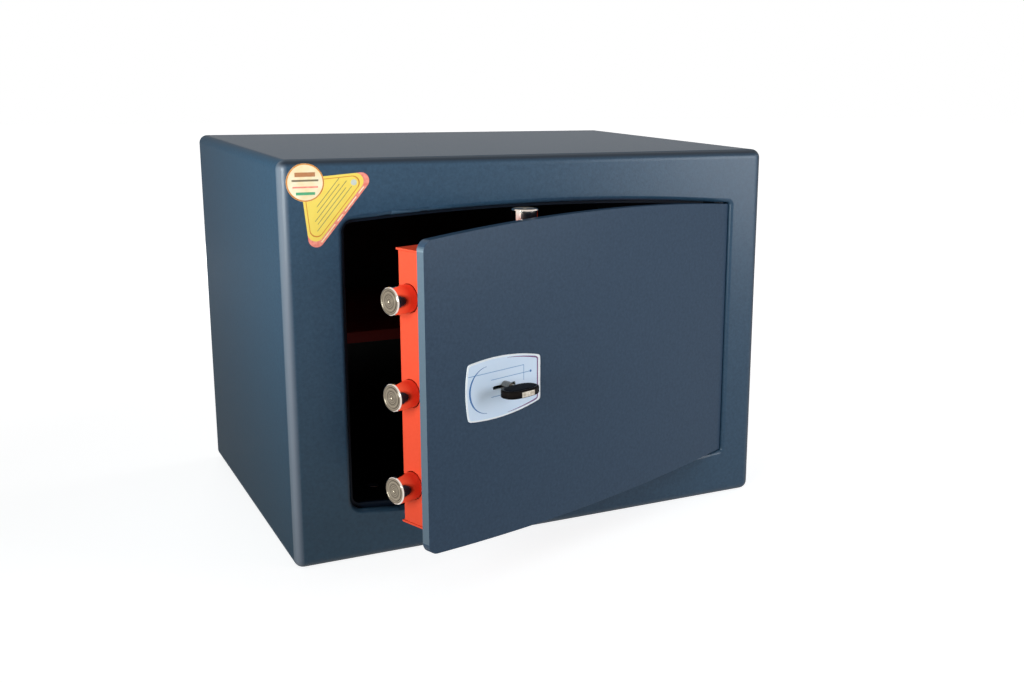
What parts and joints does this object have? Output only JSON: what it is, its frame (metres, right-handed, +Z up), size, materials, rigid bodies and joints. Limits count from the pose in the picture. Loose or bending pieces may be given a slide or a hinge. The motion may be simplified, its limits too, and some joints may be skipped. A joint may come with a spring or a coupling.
{
  "type": "furniture safe",
  "caption": "Small steel furniture safe with an arched door ajar, a key lock with its key, and round bolts that slide out at the side, top and bottom.",
  "frame": {"origin": "centre of the cabinet's base, on its underside", "axes": "+Z up, -Y towards the door's side, +X towards the hinges"},
  "size_m": [0.456, 0.4619, 0.34],
  "materials": {
    "cabinet_paint": "satin blue-grey powder coat",
    "red_paint": "satin orange-red powder coat",
    "nickel_plate": "polished nickel",
    "bright_steel": "bright",
    "zinc_plated_steel": "zinc plated",
    "tumbler_brass": "plain",
    "black_plastic": "fine texture",
    "printed_label": "printed film"
  },
  "bodies": {
    "cabinet": {"cabinet_shell": "cabinet_paint", "back_panel": "cabinet_paint", "door_frame": "cabinet_paint", "door_stop": "cabinet_paint", "hinge_block_top": "zinc_plated_steel", "hinge_block_bottom": "zinc_plated_steel", "shelf": "red_paint", "shelf_brackets": "cabinet_paint"},
    "door": {"door_plate": "cabinet_paint", "hinge_pins": "bright_steel", "bolt_cover": "red_paint", "end_plate_top": "red_paint", "end_plate_bottom": "red_paint", "cover_pillars": "zinc_plated_steel", "cover_screws": "bright_steel", "guide_studs": "zinc_plated_steel", "keyhole_label": "printed_label", "drill_plate": "zinc_plated_steel", "lock_cover": "bright_steel", "lock_case": "bright_steel", "lock_screws": "zinc_plated_steel", "lock_tumblers": "tumbler_brass"},
    "carriage": {"bolt_carriage": "zinc_plated_steel", "side_bolt_upper": "nickel_plate", "side_bolt_middle": "nickel_plate", "side_bolt_lower": "nickel_plate", "lock_bar": "zinc_plated_steel"},
    "upper_rod": {"top_rod": "zinc_plated_steel", "top_bolt": "nickel_plate"},
    "lower_rod": {"bottom_rod": "zinc_plated_steel", "bottom_bolt": "nickel_plate"},
    "rotor": {"lock_rotor": "bright_steel"},
    "key": {"key_blade": "bright_steel", "key_bow": "black_plastic"}
  },
  "joints": [
    {"name": "door_swing", "type": "hinge", "parent": "cabinet", "child": "door", "pos_m": [0.185, -0.1627, 0.168], "axis": [0, 0, 1], "range_deg": [-19.8, 80.2]},
    {"name": "carriage_slide", "type": "slide", "parent": "door", "child": "carriage", "axis": [0.9409, 0.3387, 0], "range_m": [0, 0.016]},
    {"name": "top_bolt_slide", "type": "slide", "parent": "door", "child": "upper_rod", "axis": [0, 0, -1], "range_m": [0, 0.016]},
    {"name": "bottom_bolt_slide", "type": "slide", "parent": "door", "child": "lower_rod", "axis": [0, 0, 1], "range_m": [0, 0.016]},
    {"name": "key_turn", "type": "hinge", "parent": "door", "child": "rotor", "pos_m": [-0.08115, -0.26362, 0.167], "axis": [0.3387, -0.9409, 0], "range_deg": [0, 360]},
    {"name": "key_pull", "type": "slide", "parent": "rotor", "child": "key", "axis": [0.3387, -0.9409, 0], "range_m": [0, 0.045]}
  ],
  "couplings": [
    {"joint": "top_bolt_slide", "follows": "carriage_slide", "ratio": 1},
    {"joint": "bottom_bolt_slide", "follows": "carriage_slide", "ratio": 1},
    {"joint": "key_turn", "follows": "carriage_slide", "rad_per_m": 392.7}
  ]
}
